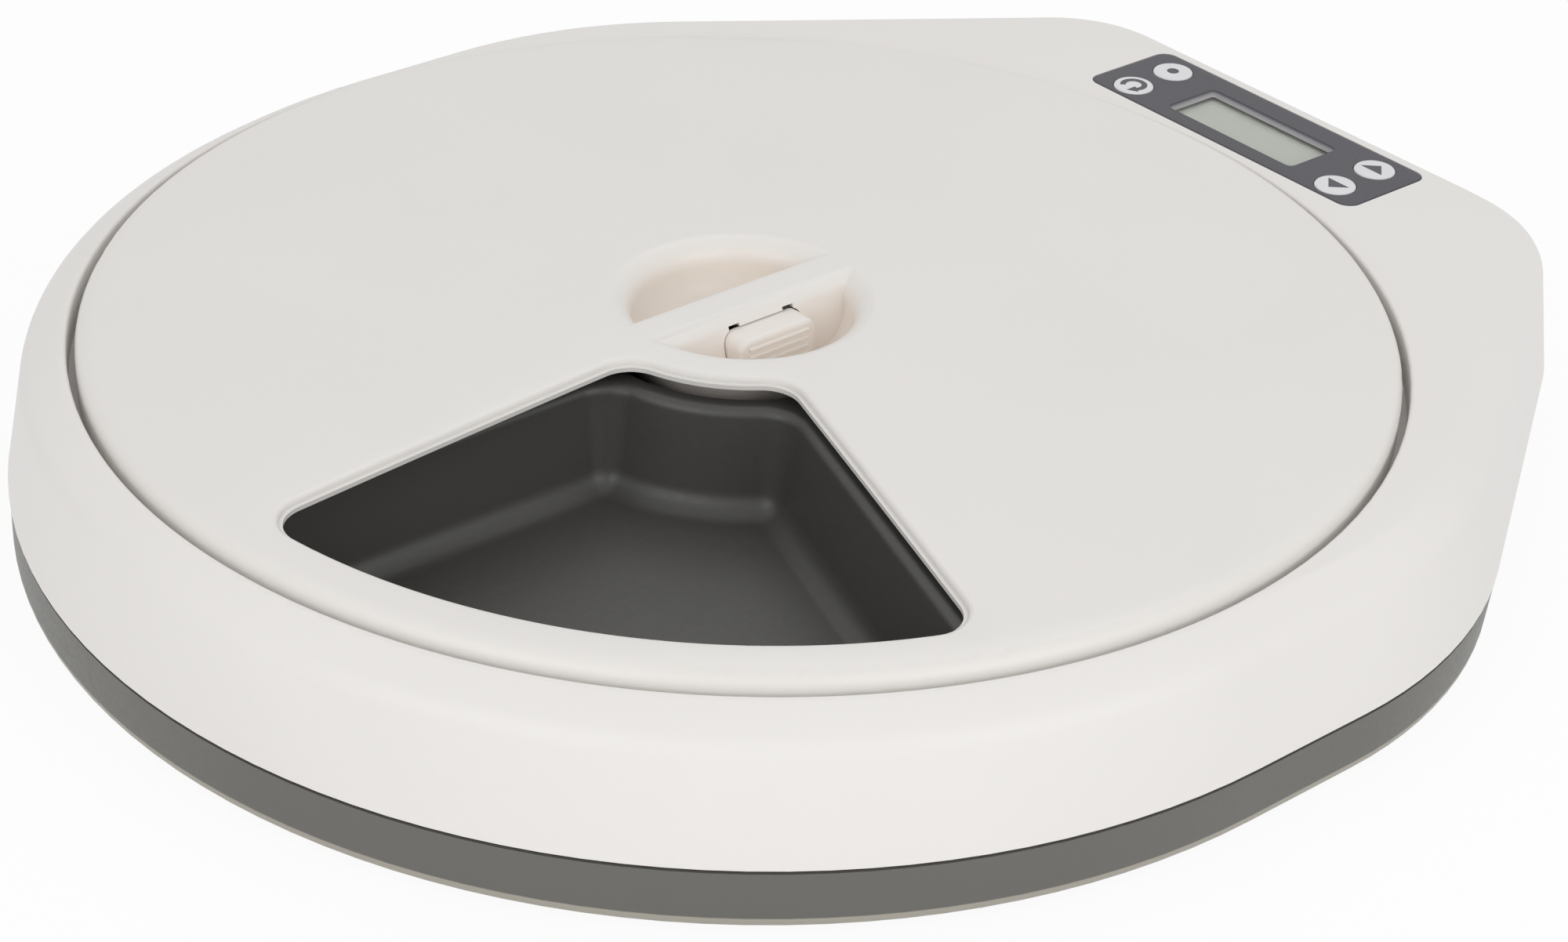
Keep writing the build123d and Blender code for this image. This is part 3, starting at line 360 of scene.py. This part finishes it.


# The base's moulding, with the ground's reflection painted on its lower edge as a pale band.
finishes["base_grey_painted_edge_light"] = moulded("base_grey_painted_edge_light", **BASE_LOOK)
edge_foot = (EDGE_FOOT - EDGE_FOOT_BLUR, EDGE_FOOT)
painted_light_by_height(finishes["base_grey_painted_edge_light"], EDGE_PAINTED_LIGHT, (EDGE_TOP, EDGE_TOP - EDGE_BLUR), edge_foot)
panel_foot, panel_top = (corner.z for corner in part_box("control_panel"))
# Painted light: the control panel's walls get paler with depth.
painted_light_by_height(finishes["panel_slate_painted_well_light"], WELL_PAINTED_LIGHT, (panel_top - WELL_RIM, panel_foot), NO_FOOT)
# The grip's moulding, with warm bounce light painted into its hollow.
finishes["grip_white_painted_bounce"] = moulded("grip_white_painted_bounce", **LID_LOOK)
grip_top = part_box("lid_grip")[1].z
painted_light_by_height(finishes["grip_white_painted_bounce"], HOLLOW_PAINTED_BOUNCE, (grip_top - HOLLOW_RIM, grip_top - HOLLOW_DEEP), NO_FOOT)
print("pale edge up to", round(EDGE_TOP / MM, 1), "mm, pale well from", round(panel_top / MM, 1), "mm down")

# %% [markdown]
# ## Metal and clear plastic
# The springs, screws, magnets and the motor's can are bright metal, so they take the same grain with the
# metallic value at its full. The display's window is a clear pane. A plain glass shader would shut the lamps
# out from the display behind it, so here the rays that look for shadows pass straight through.

# %% Metal and glass finishes
PANE_ROUGH = 0.08
PANE_IOR = 1.2


def metal(name, colour, rough):
    """Bright metal with a faint uneven polish."""
    material = moulded(name, colour, 4, rough, grain_scale=400.0, bump=0.03)
    material.node_tree.nodes["Principled BSDF"].inputs["Metallic"].default_value = 1.0
    return material


finishes["steel"] = metal("steel", (190, 190, 192), (0.25, 0.4))
finishes["spring_steel"] = metal("spring_steel", (205, 204, 200), (0.2, 0.3))


def clear_pane(name, colour):
    """Clear plastic that lets lamp light through to what lies behind it."""
    material = bpy.data.materials.new(name)
    material.use_nodes = True
    made = material.node_tree.nodes
    links = material.node_tree.links
    pane = made["Principled BSDF"]
    pane.inputs["Base Color"].default_value = linear(*colour)
    pane.inputs["Roughness"].default_value = PANE_ROUGH
    pane.inputs["Transmission Weight"].default_value = 1.0
    pane.inputs["IOR"].default_value = PANE_IOR
    path = made.new("ShaderNodeLightPath")
    clear = made.new("ShaderNodeBsdfTransparent")
    mix = made.new("ShaderNodeMixShader")
    links.new(path.outputs["Is Shadow Ray"], mix.inputs["Fac"])
    links.new(pane.outputs[0], mix.inputs[1])
    links.new(clear.outputs[0], mix.inputs[2])
    links.new(mix.outputs[0], made["Material Output"].inputs["Surface"])
    return material


finishes["window_clear"] = clear_pane("window_clear", (244, 246, 243))
print("finishes in all:", len(finishes))

# %% [markdown]
# ## Solids that keep their shape
# A CAD solid arrives as loose triangles with stored normals, which no longer fit once its points are
# merged. So a copy drops them and is shaded smooth, with its edges kept sharp by angle: large round faces
# then read as one surface. The copy stands for its solid.

# %% Smooth copies of the visible solids
DRESSED = [
    ("casing_white", "white_plastic", ["upper_casing", "tray_well"]),
    ("lid_white", "white_plastic", ["lid", "lid_skirt"]),
    ("grip_white_painted_bounce", "white_plastic", ["lid_grip", "latch_button"]),
    ("base_grey_painted_edge_light", "grey_plastic", ["base_pan"]),
    ("base_grey", "grey_plastic", ["battery_door"]),
    ("tray_charcoal", "tray_plastic", ["feeding_tray", "tray_cups"]),
    ("sole_rubber", "rubber", ["rubber_feet"]),
    ("panel_slate_painted_well_light", "panel_plastic", ["control_panel"]),
    ("window_clear", "clear_window", ["display_window"]),
    ("display_grey", "display", ["lcd_module"]),
    ("key_white", "key_plastic", ["button_mode", "button_cycle", "button_up", "button_down"]),
    ("part_black", "black_plastic", ["key_switches", "index_sensor"]),
    ("board_green", "circuit_board", ["control_board"]),
    ("gear_natural", "spindle_plastic", ["drive_spindle"]),
    ("gear_natural", "gear_plastic", ["motor_pinion", "first_gear", "second_gear", "output_gear"]),
    ("gear_natural", "gear_plastic", ["drive_plate", "spindle_bush", "latch_retainer"]),
    ("steel", "motor_steel", ["drive_motor"]),
    ("steel", "screw_steel", ["casing_screws", "board_screws", "drive_screws", "latch_screws"]),
    ("steel", "magnet", ["index_magnets"]),
    ("spring_steel", "spring_steel", ["gear_axles", "battery_spring", "latch_spring", "battery_contacts"]),
    ("cell_sleeve", "cell_wrap", ["battery_cell_1", "battery_cell_2", "battery_cell_3"]),
]
BODY_OF = {
    node: body for body, members in frame["record"]["behaviour"]["bodies"].items() for node in members
}
MERGE_WITHIN = 0.002 * MM
SHARP_ANGLE = math.radians(40.0)


def smooth_copy(node, finish):
    """A merged, smooth-shaded copy that stands for a CAD solid."""
    mesh = nodes[node].data.copy()
    mesh.name = node + "_skin"
    bm = bmesh.new()
    bm.from_mesh(mesh)
    bmesh.ops.remove_doubles(bm, verts=bm.verts, dist=MERGE_WITHIN)
    bm.to_mesh(mesh)
    bm.free()
    mesh.attributes.remove(mesh.attributes["custom_normal"])
    mesh.shade_smooth()
    mesh.set_sharp_from_angle(angle=SHARP_ANGLE)
    skin = bpy.data.objects.new(node + "_skin", mesh)
    scene.collection.objects.link(skin)
    mesh.materials.clear()
    mesh.materials.append(finishes[finish])
    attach(skin, BODY_OF[node])
    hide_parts(node)
    return skin


skins = [smooth_copy(node, finish) for finish, slot, members in DRESSED for node in members]
print("smooth copies:", len(skins), "triangles:", sum(len(skin.data.polygons) for skin in skins))

# %% [markdown]
# ## The latch spring
# The latch's coil spring is part of the lid, and the latch pushes against its free end. A stiff copy would
# end up inside the latch; here the spring's copy is only given a mesh of its own.

# %% Latch spring
latch_spring = bpy.data.objects["latch_spring_skin"]
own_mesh(latch_spring)

# %% [markdown]
# ## Signs on the keys
# The keys carry printed signs: triangles for up and down, a loop arrow and a dot. Print is only a film of
# ink, so each sign is a very thin plate lying on its key, and it rides on the key so that it goes down with
# it.

# %% Helpers for printed signs
INK = 0.06 * MM


def finish_sign(bm, name, node):
    """Puts a flat shape, drawn about the key's middle, on top of the key and gives it its thickness."""
    body = BODY_OF[node]
    low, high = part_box(node)
    middle = (low + high) / 2
    middle.z = high.z
    made = bmesh.ops.extrude_face_region(bm, geom=bm.faces[:])
    top = [v for v in made["geom"] if isinstance(v, bmesh.types.BMVert)]
    bmesh.ops.translate(bm, verts=top, vec=(0, 0, INK))
    bmesh.ops.recalc_face_normals(bm, faces=bm.faces[:])
    bmesh.ops.translate(bm, verts=bm.verts[:], vec=middle)
    mesh = bpy.data.meshes.new(name)
    bm.to_mesh(mesh)
    bm.free()
    mesh.materials.append(finishes["sign_grey"])
    sign = bpy.data.objects.new(name, mesh)
    scene.collection.objects.link(sign)
    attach(sign, body)


print("ink thickness:", round(INK / MM, 2), "mm")


# %% Triangles and dot
TRIANGLE_BASE = 6.5 * MM
TRIANGLE_HEIGHT = 3.6 * MM
UNIT_BASE = math.sqrt(3)
UNIT_HEIGHT = 1.5
DOT_R = 1.5 * MM
DOT_SIDES = 32


def triangle_sign(name, node, turn_degrees):
    """A triangle in a circle of radius 1, stretched to size; its point is towards +Y when the turn is 0."""
    bm = bmesh.new()
    bmesh.ops.create_circle(bm, cap_ends=True, segments=3, radius=1.0)
    stretch = (TRIANGLE_BASE / UNIT_BASE, TRIANGLE_HEIGHT / UNIT_HEIGHT, 1.0)
    bmesh.ops.scale(bm, verts=bm.verts[:], vec=stretch)
    spin = Matrix.Rotation(math.radians(turn_degrees), 3, "Z")
    bmesh.ops.rotate(bm, verts=bm.verts[:], cent=(0, 0, 0), matrix=spin)
    finish_sign(bm, name, node)


triangle_sign("sign_up", "button_up", 0.0)
triangle_sign("sign_down", "button_down", 180.0)
dot = bmesh.new()
bmesh.ops.create_circle(dot, cap_ends=True, segments=DOT_SIDES, radius=DOT_R)
finish_sign(dot, "sign_dot", "button_mode")
print("triangle:", round(TRIANGLE_BASE / MM, 1), "by", round(TRIANGLE_HEIGHT / MM, 1), "mm")


# %% Loop arrow
LOOP_RADII = (2.0 * MM, 3.4 * MM)
LOOP_START = math.radians(232.0)
LOOP_END = math.radians(-28.0)
LOOP_STEPS = 36
LOOP_HEAD = 1.75 * MM


def loop_arrow():
    """Most of a ring, spun clockwise from one short bar, with a triangle as its head."""
    bm = bmesh.new()
    bar = [bm.verts.new((r * math.cos(LOOP_START), r * math.sin(LOOP_START), 0)) for r in LOOP_RADII]
    ring = [bm.edges.new(bar)] + bar
    sweep = LOOP_END - LOOP_START
    bmesh.ops.spin(bm, geom=ring, cent=(0, 0, 0), axis=(0, 0, 1), angle=sweep, steps=LOOP_STEPS)
    head = bmesh.ops.create_circle(bm, cap_ends=True, segments=3, radius=LOOP_HEAD)
    middle = sum(LOOP_RADII) / 2
    bmesh.ops.translate(bm, verts=head["verts"], vec=(0, -LOOP_HEAD / 2, 0))
    half_turn = Matrix.Rotation(math.pi, 3, "Z")
    bmesh.ops.rotate(bm, verts=head["verts"], cent=(0, -LOOP_HEAD / 2, 0), matrix=half_turn)
    bmesh.ops.translate(bm, verts=head["verts"], vec=(middle, 0, 0))
    turn_end = Matrix.Rotation(LOOP_END, 3, "Z")
    bmesh.ops.rotate(bm, verts=head["verts"], cent=(0, 0, 0), matrix=turn_end)
    finish_sign(bm, "sign_loop", "button_cycle")


loop_arrow()
